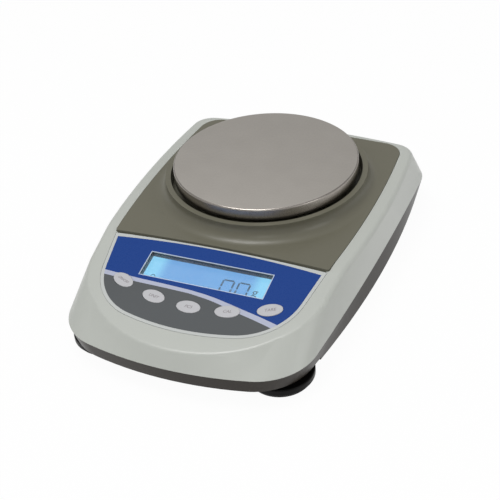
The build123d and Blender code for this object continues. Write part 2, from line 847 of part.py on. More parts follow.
def make_cell_cable():
    """Cable from the load cell's fixed end to the main board."""
    rear = main_board_y + main_board_length / 2
    side = cell_width / 2
    plug = main_board_top + 2.5
    end_x = main_board_width / 2 - 15
    return rounded_lead([
        (side, cell_rear_y - 16, cell_bottom + 4), (side + 8, cell_rear_y - 16, cell_bottom + 4),
        (side + 16, cell_rear_y - 24, plug), (end_x, cell_rear_y - 40, plug),
        (end_x + 2, cell_front_y + 8, plug), (end_x, rear + 12, plug), (end_x, rear, plug),
    ])


def make_jack_lead():
    """Cable from the power inlet to the main board."""
    on_floor = floor_top + lead_radius + thread_gap
    rear = main_board_y + main_board_length / 2
    inner = inlet_recess_y - wall - jack_length
    plug = main_board_top + 2.5
    return rounded_lead([
        (inlet_x, inner, inlet_height), (inlet_x, inner - 8, inlet_height),
        (inlet_x - 28, inner - 32, on_floor + 1), (inlet_x - 28, pan_axis_y, on_floor),
        (inlet_x - 24, rear + 14, on_floor), (-14, rear + 10, plug), (-8, rear + 6, plug), (-8, rear, plug),
    ])


def make_dc_jack():
    """Threaded barrel with an outer flange, a bore and a centre pin."""
    barrel = rod(0, 0, 0, jack_length + wall, jack_radius)
    barrel += rod(0, 0, jack_length + wall, jack_length + wall + jack_flange, jack_flange_radius)
    mouth = jack_length + wall + jack_flange
    barrel -= rod(0, 0, mouth - jack_bore_depth, mouth, jack_bore_radius)
    barrel += rod(0, 0, mouth - jack_bore_depth, mouth - jack_bore_depth + jack_pin_length, jack_pin_radius)
    return Pos(inlet_x, inlet_recess_y - wall - jack_length, inlet_height) * Rot(-90, 0, 0) * barrel


def make_jack_nut():
    """Nut that clamps the jack to the recess wall."""
    nut = extrude(RegularPolygon(jack_flange_radius, 6, major_radius=False), jack_nut_height)
    nut -= rod(0, 0, -1, far, jack_radius + thread_gap)
    return Pos(inlet_x, inlet_recess_y - wall, inlet_height) * Rot(90, 0, 0) * nut


def make_foot_insert(side):
    """Threaded insert in the base for one levelling foot."""
    insert = rod(side * foot_x, foot_y, base_clearance, base_clearance + insert_length, insert_radius)
    return insert - rod(side * foot_x, foot_y, 0, far, stud_radius + thread_gap)


def make_foot_stud(side):
    """Threaded stud moulded into the wheel."""
    low = pad_thickness + pad_neck + slip_gap
    high = base_clearance + insert_length + foot_travel + stud_spare
    return rod(side * foot_x, foot_y, low, high, stud_radius)


def make_foot_wheel(side):
    """Knob that the user turns to level the balance."""
    low = pad_thickness
    wheel = rod(side * foot_x, foot_y, low, low + wheel_thickness, wheel_radius)
    wheel = fillet(wheel.edges(), wheel_round)
    top = low + wheel_thickness
    wheel += rod(side * foot_x, foot_y, top - 1, top + wheel_hub, wheel_hub_radius)
    wheel -= rod(side * foot_x, foot_y, 0, low + pad_neck + slip_gap, pad_neck_radius + slip_gap)
    return wheel - rod(side * foot_x, foot_y, 0, far, stud_radius)


def make_foot_pad(side):
    """Soft pad that stands still while the wheel turns on it."""
    pad = rod(side * foot_x, foot_y, 0, pad_thickness, pad_radius)
    return pad + rod(side * foot_x, foot_y, pad_thickness, pad_thickness + pad_neck, pad_neck_radius)


def make_rear_feet():
    """Fixed soft feet in their pockets."""
    return [rod(side * rear_foot_x, rear_foot_y, 0, rear_foot_height, rear_foot_radius) for side in (-1, 1)]


def make_case_screws():
    """Screws up through the base into the housing's posts."""
    seat = base_clearance + case_screw_head_height + 1.0
    bite = joint_height - seat + case_screw_bite
    return [make_screw(x, y, seat, case_screw_radius, bite, case_screw_head, case_screw_head_height, 1)
            for x, y in case_screw_places()]


def make_small_screws(places, seat):
    """Screws down through a board or plate into its posts."""
    bite = board_screw_bite + 1.0
    return [make_screw(x, y, seat, board_screw_radius, bite, board_screw_head, board_screw_head_height, -1)
            for x, y in places]


save("lower_base", make_lower_base())
save("upper_housing", make_upper_housing())
save("top_plate", make_top_plate())
save("plate_screws", *make_plate_screws())
save("panel_film", make_panel_film())
save("display_window", make_display_window())
save("display_frame", make_display_frame())
save("lcd_glass", make_lcd_layer(lcd_depth, lcd_depth + lcd_thickness))
save("lcd_backlight", make_lcd_layer(lcd_depth + lcd_thickness, lcd_back))
save("display_board", make_display_board())
save("display_board_screws", *make_display_screws())
save("key_switches", *[make_key_switch(u, v) for u, v in key_places()])
key_names = ["key_on_off", "key_unit", "key_count", "key_calibrate", "key_tare"]
for key_name, (key_u, key_place_v) in zip(key_names, key_places()):
    save(key_name, make_key(key_u, key_place_v))
save("chassis_plate", make_chassis_plate())
save("chassis_screws", *make_small_screws(chassis_places(), chassis_top))
save("cell_spacer", make_spacer(cell_rear_y, -1, chassis_top, cell_bottom, m4_radius))
save("load_cell", make_load_cell())
save("gauge_sealant", *make_sealant())
save("cell_screws", *make_cell_screws())
stop_screw, stop_nut = make_overload_stop()
save("overload_stop_screw", stop_screw)
save("overload_lock_nut", stop_nut)
save("platform_spacer", make_spacer(cell_front_y, 1, cell_top, platform_bottom, m4_radius))
save("platform_plate", make_platform_plate())
save("platform_screws", *make_platform_screws())
save("pan_support", make_pan_support())
save("pan_support_screw", make_pan_support_screw())
save("pan_cushions", *make_cushions())
save("weighing_pan", make_weighing_pan())
save("main_board", make_main_board())
save("board_components", *make_board_components())
save("main_board_screws", *make_small_screws(main_board_places(), main_board_top))
save("ribbon_cable", make_ribbon_cable())
save("cell_cable", make_cell_cable())
save("power_lead", make_jack_lead())
save("dc_jack", make_dc_jack())
save("dc_jack_nut", make_jack_nut())
save("foot_inserts", *[make_foot_insert(side) for side in (-1, 1)])
for side_name, side in (("left", -1), ("right", 1)):
    save(f"{side_name}_foot_stud", make_foot_stud(side))
    save(f"{side_name}_foot_wheel", make_foot_wheel(side))
    save(f"{side_name}_foot_pad", make_foot_pad(side))
save("rear_feet", *make_rear_feet())
save("housing_screws", *make_case_screws())
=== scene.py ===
# %% [markdown]
# # A bench balance, dressed for its picture
# The solid model of the balance is loaded as a fixed frame: every node keeps its place and its
# body, so this file only has to give each one a surface. Where the loose triangles of a node would
# show, a welded copy or a freshly modelled piece stands in for it.

# %% Load the frame
import json
import math

import bmesh
import bpy
from mathutils import Euler, Matrix, Vector

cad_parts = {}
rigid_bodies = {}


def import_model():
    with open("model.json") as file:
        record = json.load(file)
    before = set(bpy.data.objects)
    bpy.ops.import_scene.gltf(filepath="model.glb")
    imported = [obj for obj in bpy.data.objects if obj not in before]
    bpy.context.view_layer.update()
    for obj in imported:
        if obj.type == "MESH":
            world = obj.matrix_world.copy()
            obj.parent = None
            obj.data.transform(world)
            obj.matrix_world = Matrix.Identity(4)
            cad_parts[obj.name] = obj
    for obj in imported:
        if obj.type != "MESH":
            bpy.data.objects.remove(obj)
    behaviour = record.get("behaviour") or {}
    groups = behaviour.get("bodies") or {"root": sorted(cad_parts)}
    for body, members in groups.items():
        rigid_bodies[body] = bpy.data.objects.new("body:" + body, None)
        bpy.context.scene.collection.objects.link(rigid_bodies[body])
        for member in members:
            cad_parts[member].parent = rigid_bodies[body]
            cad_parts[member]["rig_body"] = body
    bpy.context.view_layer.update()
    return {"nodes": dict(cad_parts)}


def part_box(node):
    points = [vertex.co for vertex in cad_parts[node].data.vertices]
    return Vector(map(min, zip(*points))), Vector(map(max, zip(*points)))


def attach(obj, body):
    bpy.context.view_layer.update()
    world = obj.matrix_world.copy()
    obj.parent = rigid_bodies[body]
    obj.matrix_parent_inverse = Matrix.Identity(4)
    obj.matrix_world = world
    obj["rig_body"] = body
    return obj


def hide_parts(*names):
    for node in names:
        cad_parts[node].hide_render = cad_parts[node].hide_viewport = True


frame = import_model()
mm = 0.001
print("nodes in the frame:", len(frame["nodes"]))

# %% [markdown]
# ## The camera
# A product picture is usually taken with a long lens from above one corner. The place and the three
# turns below were solved from the outlines of the pan, the plate and the feet, so the perspective
# is right as well as the direction. The subject fills the frame without any lens shift.

# %% Place the camera
camera_data = bpy.data.cameras.new("studio_camera")
camera_data.sensor_width = 36.0
camera_data.lens = 80.443
camera = bpy.data.objects.new("studio_camera", camera_data)
camera.location = Vector((275.99, -574.17, 472.86)) * mm
camera.rotation_euler = Euler([math.radians(a) for a in (54.1557, 4.0315, 22.7637)])
bpy.context.scene.collection.objects.link(camera)
bpy.context.scene.camera = camera
print("camera distance in mm:", round(camera.location.length / mm))

# %% [markdown]
# ## Colours and nodes
# Colours are noted as they look on a screen, in hexadecimal. Shaders work with linear light, so one
# function converts them. A second one adds any kind of node, sets its options, and fills or links
# its sockets, which keeps each material down to a few readable lines.

# %% Colour and node helpers
def linear(hex_colour):
    """Turn an sRGB hex colour into the linear RGBA that a shader expects."""
    channels = [int(hex_colour[i:i + 2], 16) / 255 for i in (1, 3, 5)]
    lit = [c / 12.92 if c <= 0.04045 else ((c + 0.055) / 1.055) ** 2.4 for c in channels]
    return (*lit, 1.0)


def add_node(material, kind, sockets=None, **options):
    """Add one node, set its options, and fill or link its input sockets."""
    made = material.node_tree.nodes.new(kind)
    for option, value in options.items():
        setattr(made, option, value)
    for socket, value in (sockets or {}).items():
        if isinstance(value, bpy.types.NodeSocket):
            material.node_tree.links.new(value, made.inputs[socket])
        else:
            made.inputs[socket].default_value = value
    return made


def plain_finish(name, colour, roughness, metallic=0.0):
    """Start a material from its colour and its gloss, and return it with its shader."""
    material = bpy.data.materials.new(name)
    material.use_nodes = True
    shader = material.node_tree.nodes["Principled BSDF"]
    shader.inputs["Base Color"].default_value = linear(colour)
    shader.inputs["Roughness"].default_value = roughness
    shader.inputs["Metallic"].default_value = metallic
    material.diffuse_color = linear(colour)
    return material, shader


def per_metre(size):
    """Texture scale whose features are about this many millimetres across."""
    return 1.0 / (size * mm)


# %% [markdown]
# ## Moulded plastic
# The housing, base, plate and keys are injection-moulded ABS. The tool is spark-eroded, which
# leaves a fine even grain that spreads the highlights, and the colour drifts a little where the
# melt cooled at different speeds. Two noises are enough: a broad one between two close tones, and a
# fine one that tilts the surface by a few microns and varies the gloss. The dark pieces and the
# inks look duller than bare plastic, so their shine is set below the usual half.

# %% Moulded plastic
def moulded_plastic(name, light, dark, roughness, grain=0.5, depth=0.006, shine=0.5):
    """Injection-moulded plastic: broad colour drift, even grain, and how much it reflects."""
    material, shader = plain_finish(name, light, roughness)
    shader.inputs["Specular IOR Level"].default_value = shine
    place = add_node(material, "ShaderNodeTexCoord").outputs["Object"]
    drift = add_node(material, "ShaderNodeTexNoise",
                     {"Vector": place, "Scale": per_metre(60), "Detail": 3.0})
    tone = add_node(material, "ShaderNodeMix",
                    {0: drift.outputs["Fac"], 6: linear(light), 7: linear(dark)}, data_type="RGBA")
    fine = add_node(material, "ShaderNodeTexNoise",
                    {"Vector": place, "Scale": per_metre(grain), "Detail": 2.0})
    gloss = add_node(material, "ShaderNodeMapRange",
                     {"Value": fine.outputs["Fac"], "From Min": 0.3, "From Max": 0.7,
                      "To Min": roughness - 0.05, "To Max": roughness + 0.05})
    tilt = add_node(material, "ShaderNodeBump",
                    {"Height": fine.outputs["Fac"], "Distance": depth * mm, "Strength": 1.0})
    material.node_tree.links.new(tone.outputs[2], shader.inputs["Base Color"])
    material.node_tree.links.new(gloss.outputs["Result"], shader.inputs["Roughness"])
    material.node_tree.links.new(tilt.outputs["Normal"], shader.inputs["Normal"])
    return material


housing_abs = moulded_plastic("light_grey_abs", "#BCBFB9", "#B7BAB4", 0.33)
base_abs = moulded_plastic("umber_black_abs", "#322D27", "#2E2924", 0.34, shine=0.18)
plate_abs = moulded_plastic("taupe_abs", "#6C6A5C", "#676557", 0.34, shine=0.4)
key_abs = moulded_plastic("off_white_key_abs", "#BFBFC2", "#B9B9BD", 0.42, grain=0.3)
frame_abs = moulded_plastic("blue_black_frame_abs", "#2B3743", "#222C37", 0.30)
black_abs = moulded_plastic("black_knob_abs", "#0D0D0C", "#0A0A0A", 0.36, shine=0.12)
switch_abs = moulded_plastic("black_switch_body", "#232324", "#1B1B1C", 0.42, grain=0.3)
guide_acrylic = moulded_plastic("milky_light_guide", "#E4EAF0", "#DCE4EC", 0.35)
print("moulded finishes ready")

# %% [markdown]
# ## Rubber, potting and cable jackets
# Feet and cushions are soft black rubber, with a coarser bloom than hard plastic and almost no
# shine. Silicone potting and vinyl jackets are the same idea in other colours.

# %% Soft finishes
foot_rubber = moulded_plastic("black_foot_rubber", "#0F0F0E", "#141413", 0.72,
                              grain=0.8, depth=0.015, shine=0.15)
cushion_rubber = moulded_plastic("black_cushion_rubber", "#1F1F1E", "#272726", 0.75,
                                 grain=0.8, depth=0.015)
silicone = moulded_plastic("white_silicone_potting", "#DEDDD6", "#D2D1CA", 0.50,
                           grain=1.5, depth=0.03)
vinyl = moulded_plastic("grey_vinyl_jacket", "#3A3A3C", "#333335", 0.50, grain=0.6)

# %% [markdown]
# ## Steel, aluminium and brass
# The pan's face is bead-blasted stainless steel: a mass of tiny dimples that scatter the light into
# an even warm grey with a faint cloudiness. Its turned-down rim is polished and mirrors the dark
# well around it. The load cell is milled aluminium, the fasteners are zinc plated, and the inserts
# are turned brass. One recipe covers them all, with a stretched noise where a cutter left a lay.

# %% Metals
def worked_metal(name, light, dark, roughness, lay=(1.0, 1.0, 1.0), grain=0.6, depth=0.004):
    """Metal whose cutter or blasting marks run along a lay."""
    material, shader = plain_finish(name, light, roughness, metallic=1.0)
    place = add_node(material, "ShaderNodeTexCoord").outputs["Object"]
    along = add_node(material, "ShaderNodeMapping", {"Vector": place, "Scale": lay})
    cloud = add_node(material, "ShaderNodeTexNoise",
                     {"Vector": place, "Scale": per_metre(18), "Detail": 4.0})
    marks = add_node(material, "ShaderNodeTexNoise",
                     {"Vector": along.outputs["Vector"], "Scale": per_metre(grain), "Detail": 3.0})
    both = add_node(material, "ShaderNodeMix",
                    {0: 0.55, 2: cloud.outputs["Fac"], 3: marks.outputs["Fac"]})
    tone = add_node(material, "ShaderNodeMix",
                    {0: both.outputs[0], 6: linear(light), 7: linear(dark)}, data_type="RGBA")
    gloss = add_node(material, "ShaderNodeMapRange",
                     {"Value": marks.outputs["Fac"], "From Min": 0.3, "From Max": 0.7,
                      "To Min": 0.9 * roughness, "To Max": 1.1 * roughness})
    tilt = add_node(material, "ShaderNodeBump",
                    {"Height": marks.outputs["Fac"], "Distance": depth * mm, "Strength": 1.0})
    material.node_tree.links.new(tone.outputs[2], shader.inputs["Base Color"])
    material.node_tree.links.new(gloss.outputs["Result"], shader.inputs["Roughness"])
    material.node_tree.links.new(tilt.outputs["Normal"], shader.inputs["Normal"])
    return material


pan_face = worked_metal("bead_blasted_stainless", "#D2CDC6", "#BEB9B2", 0.46,
                        grain=1.1, depth=0.012)
pan_rim = worked_metal("polished_stainless", "#B0AAA3", "#9C9690", 0.28,
                       lay=(1, 1, 12), grain=0.8, depth=0.002)
milled = worked_metal("milled_aluminium", "#C9CBCC", "#B4B6B8", 0.34, lay=(1, 14, 14), grain=0.5)
cast = worked_metal("die_cast_aluminium", "#AEB0B1", "#9C9E9F", 0.52, grain=1.4, depth=0.02)
zinc = worked_metal("zinc_plated_steel", "#BFC3C6", "#A8ACB0", 0.32, grain=0.7)
turned_brass = worked_metal("turned_brass", "#C8A35A", "#B08C48", 0.30, lay=(1, 1, 10), grain=0.4)
print("metal finishes ready")

# %% [markdown]
# ## Circuit boards and parts
# A board is glass-epoxy under green solder mask. The mask is glossy and lets the copper's pattern
# show as slightly lighter blocks, which a cell texture of a few millimetres imitates.

# %% Circuit board
solder_mask, mask_shader = plain_finish("green_solder_mask", "#1E5B34", 0.28)
board_place = add_node(solder_mask, "ShaderNodeTexCoord").outputs["Object"]
copper = add_node(solder_mask, "ShaderNodeTexVoronoi",
                  {"Vector": board_place, "Scale": per_metre(4)},
                  distance="MANHATTAN", feature="F1")
mask_tone = add_node(solder_mask, "ShaderNodeMix",
                     {0: copper.outputs["Distance"], 6: linear("#1B5230"), 7: linear("#2C7044")},
                     data_type="RGBA")
solder_mask.node_tree.links.new(mask_tone.outputs[2], mask_shader.inputs["Base Color"])
chip_epoxy = moulded_plastic("black_chip_epoxy", "#1A1A1B", "#222223", 0.45, grain=0.3)

# %% [markdown]
# ## The display
# The cell is a twisted-nematic glass lit from the edges by a pale blue guide. It is the one thing
# on the balance that shines by itself, so its shader emits: a flat light blue, a little paler
# towards both ends, where the lamps sit. The window over it is polished acrylic, 1 mm thick.

# %% Display and window finishes
glow_starts = 26 * mm
glow_full = 40 * mm
lit_cell, lit_shader = plain_finish("backlit_crystal_cell", "#1B2C3A", 0.20)
lit_place = add_node(lit_cell, "ShaderNodeTexCoord").outputs["Object"]
across = add_node(lit_cell, "ShaderNodeSeparateXYZ", {"Vector": lit_place})
distance_out = add_node(lit_cell, "ShaderNodeMath", {0: across.outputs["X"]}, operation="ABSOLUTE")
end_glow = add_node(lit_cell, "ShaderNodeMapRange",
                    {"Value": distance_out.outputs[0], "From Min": glow_starts,
                     "From Max": glow_full}, interpolation_type="SMOOTHERSTEP")
uneven = add_node(lit_cell, "ShaderNodeTexNoise",
                  {"Vector": lit_place, "Scale": per_metre(25), "Detail": 1.0})
cloudy = add_node(lit_cell, "ShaderNodeMapRange",
                  {"Value": uneven.outputs["Fac"], "To Min": 0.0, "To Max": 0.25})
glow_sum = add_node(lit_cell, "ShaderNodeMath",
                    {0: end_glow.outputs["Result"], 1: cloudy.outputs["Result"]},
                    operation="ADD", use_clamp=True)
glow = add_node(lit_cell, "ShaderNodeMix",
                {0: glow_sum.outputs[0], 6: linear("#6AA4E4"), 7: linear("#90DCFF")},
                data_type="RGBA")
lit_cell.node_tree.links.new(glow.outputs[2], lit_shader.inputs["Emission Color"])
lit_shader.inputs["Emission Strength"].default_value = 0.92

acrylic, acrylic_shader = plain_finish("polished_acrylic", "#F4F8FB", 0.03)
acrylic_shader.inputs["Transmission Weight"].default_value = 1.0
acrylic_shader.inputs["IOR"].default_value = 1.49

# %% [markdown]
# ## Printed film and inks
# The panel's film is polyester with a fine matt hard coat. Its pale ground shows as the border, and
# the blue, the grey and the lilac white of the stripe between them are laid over it as very thin
# sheets. Ink takes light like plastic, so the moulded recipe serves with a finer grain.

# %% Inks
ink_grain = 0.4
film_ground = moulded_plastic("pale_polyester_film", "#C2C5C3", "#BDC0BE", 0.34,
                              grain=ink_grain, depth=0.002)
blue_ink = moulded_plastic("blue_screen_ink", "#1B4289", "#183D86", 0.30,
                           grain=ink_grain, depth=0.002, shine=0.2)
grey_ink = moulded_plastic("grey_screen_ink", "#5A5D5F", "#55585A", 0.34,
                           grain=ink_grain, depth=0.002, shine=0.2)
stripe_ink = moulded_plastic("lilac_white_screen_ink", "#B3B8CC", "#AEB3C8", 0.34,
                             grain=ink_grain, depth=0.002)
# The pale line round the window is not ink: it is a painted highlight for light caught on the
# window's edge.
window_edge_highlight_paint = moulded_plastic("painted_window_edge_highlight", "#B9C8DC", "#B3C2D8", 0.34,
                            grain=ink_grain, depth=0.002)
legend_ink = moulded_plastic("warm_grey_legend_ink", "#857C80", "#7A7276", 0.40,
                             grain=ink_grain, depth=0.001)
crystal = moulded_plastic("dark_crystal_segments", "#49708F", "#416784", 0.30,
                          grain=ink_grain, depth=0.001)

# %% [markdown]
# ## Plain nodes take their finish
# Most of the solid model only needs a surface. A table pairs each node with a material, and a node
# that gets a modelled stand-in later simply hides behind it.

# %% Give every node its finish
finishes = {
    housing_abs: ["upper_housing"],
    base_abs: ["lower_base"],
    plate_abs: ["top_plate"],
    pan_face: ["weighing_pan"],
    film_ground: ["panel_film"],
    acrylic: ["display_window"],
    frame_abs: ["display_frame"],
    lit_cell: ["lcd_glass"],
    guide_acrylic: ["lcd_backlight"],
    key_abs: ["key_on_off", "key_unit", "key_count", "key_calibrate", "key_tare"],
    solder_mask: ["main_board", "display_board"],
    chip_epoxy: ["board_components"],
    switch_abs: ["key_switches", "dc_jack"],
    vinyl: ["ribbon_cable", "cell_cable", "power_lead"],
    silicone: ["gauge_sealant"],
    milled: ["load_cell"],
    cast: ["pan_support"],
    turned_brass: ["foot_inserts"],
    cushion_rubber: ["pan_cushions"],
    foot_rubber: ["left_foot_pad", "right_foot_pad", "rear_feet"],
    black_abs: ["left_foot_wheel", "right_foot_wheel"],
    zinc: ["plate_screws", "display_board_screws", "chassis_plate", "chassis_screws",
           "cell_spacer", "cell_screws", "overload_stop_screw", "overload_lock_nut",
           "platform_spacer", "platform_plate", "platform_screws", "pan_support_screw",
           "main_board_screws", "dc_jack_nut", "left_foot_stud", "right_foot_stud",
           "housing_screws"],
}
finish_of = {node: material for material, nodes in finishes.items() for node in nodes}
for node, piece in frame["nodes"].items():
    piece.data.materials.clear()
    piece.data.materials.append(finish_of[node])
print("finished nodes:", len(finish_of))

# %% [markdown]
# ## Welded shells
# A solid model arrives as loose triangles, so its curved walls would look faceted. Welding a copy
# joins the triangles, faces are shaded smooth, and only edges sharper than a crease angle stay
# crisp. Weighted normals then keep the big flat faces flat right up to their rounded edges.

# %% Weld and smooth the visible shells
weld_distance = 0.001 * mm
crease_angle = math.radians(30)


def new_piece(name, mesh, body):
    """Put a finished mesh into the scene as a piece that rides on a body."""
    piece = bpy.data.objects.new(name, mesh)
    bpy.context.scene.collection.objects.link(piece)
    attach(piece, body)
    return piece


def welded_shell(node):
    """Stand a welded, smooth-shaded copy in for a node."""
    source = frame["nodes"][node]
    work = bmesh.new()
    work.from_mesh(source.data)
    bmesh.ops.remove_doubles(work, verts=work.verts, dist=weld_distance)
    for face in work.faces:
        face.smooth = True
    for edge in work.edges:
        edge.smooth = edge.calc_face_angle(math.pi) < crease_angle
    mesh = bpy.data.meshes.new(node + "_shell")
    work.to_mesh(mesh)
    work.free()
    if "custom_normal" in mesh.attributes:
        mesh.attributes.remove(mesh.attributes["custom_normal"])
    mesh.materials.append(finish_of[node])
    shell = new_piece(node + "_shell", mesh, source["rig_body"])
    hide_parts(node)
    weigh = shell.modifiers.new("flat_faces_stay_flat", "WEIGHTED_NORMAL")
    weigh.keep_sharp = True


seen_nodes = ["upper_housing", "lower_base", "top_plate", "key_on_off", "key_unit", "key_count",
              "key_calibrate", "key_tare", "pan_support", "left_foot_wheel", "right_foot_wheel",
              "left_foot_pad", "right_foot_pad", "rear_feet", "display_frame"]
for node in seen_nodes:
    welded_shell(node)
print("welded shells:", len(seen_nodes))

# %% [markdown]
# ## The weighing pan
# The real pan is pressed from 1 mm stainless sheet: a flat disc whose edge turns down in a tight
# radius. A turned section spun about the pan's axis gives exactly that, so a short profile is
# drawn in one plane and the spin operator sweeps it. The face and the rim are then told apart by
# their distance from the axis, because one is blasted and the other polished.

# %% Spin the pan
pan_axis = Vector((0, 38.0, 0)) * mm
pan_low, pan_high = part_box("weighing_pan")
pan_radius = (pan_high.x - pan_low.x) / 2
sheet = 1.0 * mm
bend = 1.1 * mm


def rim_profile(radius, top, bottom, turn, steps=8):
    """Points from the middle of a disc out over a rounded edge and down its rim."""
    points = [Vector((0, 0, top))]
    for step in range(steps + 1):
        angle = math.radians(90 * step / steps)
        points.append(Vector((radius - turn + turn * math.sin(angle), 0,
                              top - turn + turn * math.cos(angle))))
    return points + [Vector((radius, 0, bottom))]


outside = rim_profile(pan_radius, pan_high.z, pan_low.z, bend)
inside = rim_profile(pan_radius - sheet, pan_high.z - sheet, pan_low.z, bend - sheet)
work = bmesh.new()
section = [work.verts.new(point) for point in outside + inside[::-1]]
edges = [work.edges.new(pair) for pair in zip(section, section[1:])]
bmesh.ops.spin(work, geom=section + edges, cent=(0, 0, 0), axis=(0, 0, 1), angle=math.tau,
               steps=160, use_merge=True)
bmesh.ops.remove_doubles(work, verts=work.verts, dist=weld_distance)
bmesh.ops.recalc_face_normals(work, faces=work.faces)
for face in work.faces:
    face.smooth = True
    middle = face.calc_center_median()
    outer = math.hypot(middle.x, middle.y) > pan_radius - bend * 0.9
    face.material_index = 1 if outer else 0
for edge in work.edges:
    edge.smooth = edge.calc_face_angle(math.pi) < crease_angle
bmesh.ops.translate(work, verts=work.verts, vec=pan_axis)
pan_mesh = bpy.data.meshes.new("blasted_pan")
work.to_mesh(pan_mesh)
work.free()
pan_mesh.materials.append(pan_face)
pan_mesh.materials.append(pan_rim)
pan = new_piece("blasted_pan", pan_mesh, "pan")
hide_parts("weighing_pan")
print("pan faces:", len(pan_mesh.polygons))

# %% [markdown]
# ## Laying print on the sloping panel
# Printed areas are flat shapes, and a flat curve with holes fills them cleanly. Each is drawn in
# millimetres across and down the panel, turned into a mesh, and only then moved to the slope. The
# sheets float 0.03 mm over what they are printed on, which is about the thickness of the ink.

# %% Panel coordinates and flat sheets
panel_tilt = math.radians(11.27)
panel_start = Vector((0, -41.5, 48.0)) * mm
panel = Matrix.Translation(panel_start) @ Matrix.Rotation(panel_tilt, 4, "X")
ink_height = 0.03


def on_panel(height=ink_height):
    """Placement that takes millimetres on the panel to metres in the room."""
    return panel @ Matrix.Translation((0, 0, height * mm)) @ Matrix.Scale(mm, 4)


def place_flat(name, data, place, material, body):
    """Turn a flat curve or a text into a placed, finished mesh piece."""
    drawn = bpy.data.objects.new(name, data)
    mesh = bpy.data.meshes.new_from_object(drawn)
    bpy.data.objects.remove(drawn)
    mesh.name = name
    mesh.transform(place)
    mesh.materials.clear()
    mesh.materials.append(material)
    return new_piece(name, mesh, body)


def sheet_of(name, outlines, place, material, body="case"):
    """Fill closed outlines, given in millimetres down the panel, as one thin sheet."""
    curve = bpy.data.curves.new(name, "CURVE")
    curve.dimensions = "2D"
    curve.fill_mode = "FRONT"
    for outline in outlines:
        spline = curve.splines.new("POLY")
        spline.points.add(len(outline) - 1)
        for point, (u, v) in zip(spline.points, outline):
            point.co = (u, -v, 0, 1)
        spline.use_cyclic_u = True
    return place_flat(name, curve, place, material, body)


def ring_of(u, v, radius, steps=48):
    """Circle as an outline."""
    turns = [math.tau * step / steps for step in range(steps)]
    return [(u + radius * math.cos(turn), v + radius * math.sin(turn)) for turn in turns]


key_arc = 131
key_half_length = 8.15
key_half_width = 4.75


def key_oval(u, v, gap, steps=64):
    """Oval outline round a key with a gap, its long axis along the arc of keys."""
    turn = math.asin(u / key_arc)
    half_length, half_width = key_half_length + gap, key_half_width + gap
    outline = []
    for step in range(steps):
        angle = math.tau * step / steps
        along, aside = half_length * math.cos(angle), half_width * math.sin(angle)
        outline.append((u + along * math.cos(turn) - aside * math.sin(turn),
                        v - along * math.sin(turn) - aside * math.cos(turn)))
    return outline


def oblong(left, top, right, bottom):
    """Rectangle as an outline."""
    return [(left, top), (right, top), (right, bottom), (left, bottom)]


# %% [markdown]
# ## Outline of the film
# The film is widest at its bowed upper edge, tapers down both sides and ends in a long arc with
# generous corners. The printed areas follow the same outline a little way in, so it is described
# once, with an inset. The stripe then divides it into the blue and the grey.

# %% Divide the film into blue and grey
key_pitch = 25.7
lowest_key = 55.8
key_centres = [(u, lowest_key - (key_arc - math.sqrt(key_arc ** 2 - u ** 2)))
               for u in [key_pitch * place for place in (-2, -1, 0, 1, 2)]]
stripe_top = [(-80, 39.9), (-67, 39.9), (-54, 40.7), (-40, 41.4), (-22, 41.8), (-4, 42.5),
              (7, 43.6), (14.5, 44.8), (25, 47.0), (37, 49.8), (44.5, 51.4), (54, 53.8),
              (60, 55.4), (80, 61.0)]
stripe_bottom = [(-80, 43.3), (-67, 43.5), (-54, 44.1), (-40, 44.6), (-22, 44.8), (-4, 45.3),
                 (7, 46.7), (14.5, 48.0), (25, 50.7), (37, 53.7), (44.5, 55.4), (54, 57.9),
                 (60, 59.6), (80, 65.2)]
side_half_width, side_level, side_taper = 76.0, 4.6, 0.165
corner_u, corner_v, corner_radius = 27.37, 29.08, 44.0
side_meets_corner, arc_meets_corner = 0.163, 0.21
bottom_arc, bottom_arc_level = 165.6, -89.4


def level_at(line, u):
    """Height of a dividing line at a place across the panel."""
    for (u0, v0), (u1, v1) in zip(line, line[1:]):
        if u0 <= u <= u1:
            return v0 + (v1 - v0) * (u - u0) / (u1 - u0)
    raise ValueError(u)


def film_half_width(v, inset):
    """Half the film's width at a height, moved in by an inset."""
    side = side_half_width - side_taper * (v - side_level) - inset
    corner = corner_radius - inset
    if v > corner_v + side_meets_corner * corner:
        drop = v - corner_v
        side = corner_u + (math.sqrt(corner ** 2 - drop ** 2) if drop < corner else 0.0)
    return side


def film_bottom(u, inset):
    """Lowest point of the film at a place across the panel."""
    arc = bottom_arc_level + math.sqrt((bottom_arc - inset) ** 2 - u ** 2)
    corner = corner_radius - inset
    beyond = abs(u) - corner_u
    if beyond > arc_meets_corner * corner:
        return corner_v + math.sqrt(max(corner ** 2 - beyond ** 2, 0.0))
    return arc


def side_points(low, high, inset, hand, steps=40):
    """Points down one side of the film between two heights."""
    heights = [low + (high - low) * step / steps for step in range(steps + 1)]
    return [(hand * film_half_width(v, inset), v) for v in heights]


def meet(line, inset, hand):
    """Height at which a dividing line reaches one side of the film."""
    height = 45.0
    for _ in range(40):
        height = level_at(line, hand * film_half_width(height, inset))
    return height


def dividing_points(line, left, right, steps=48):
    """Points along a dividing line from left to right."""
    places = [left + (right - left) * step / steps for step in range(steps + 1)]
    return [(u, level_at(line, u)) for u in places]


border = 2.2
blue_left = meet(stripe_top, border, -1)
blue_right = meet(stripe_top, border, 1)
top_middle, top_corner = 5.85, 10.0
top_half = film_half_width(top_corner, border)
top_edge = [(u, top_middle + (top_corner - top_middle) * (u / top_half) ** 2)
            for u in [top_half * (step / 20 - 1) for step in range(1, 40)]]
blue_area = (top_edge + side_points(top_corner, blue_right, border, 1)
             + dividing_points(stripe_top, -film_half_width(blue_left, border),
                               film_half_width(blue_right, border))[::-1][1:-1]
             + side_points(top_corner, blue_left, border, -1)[::-1])

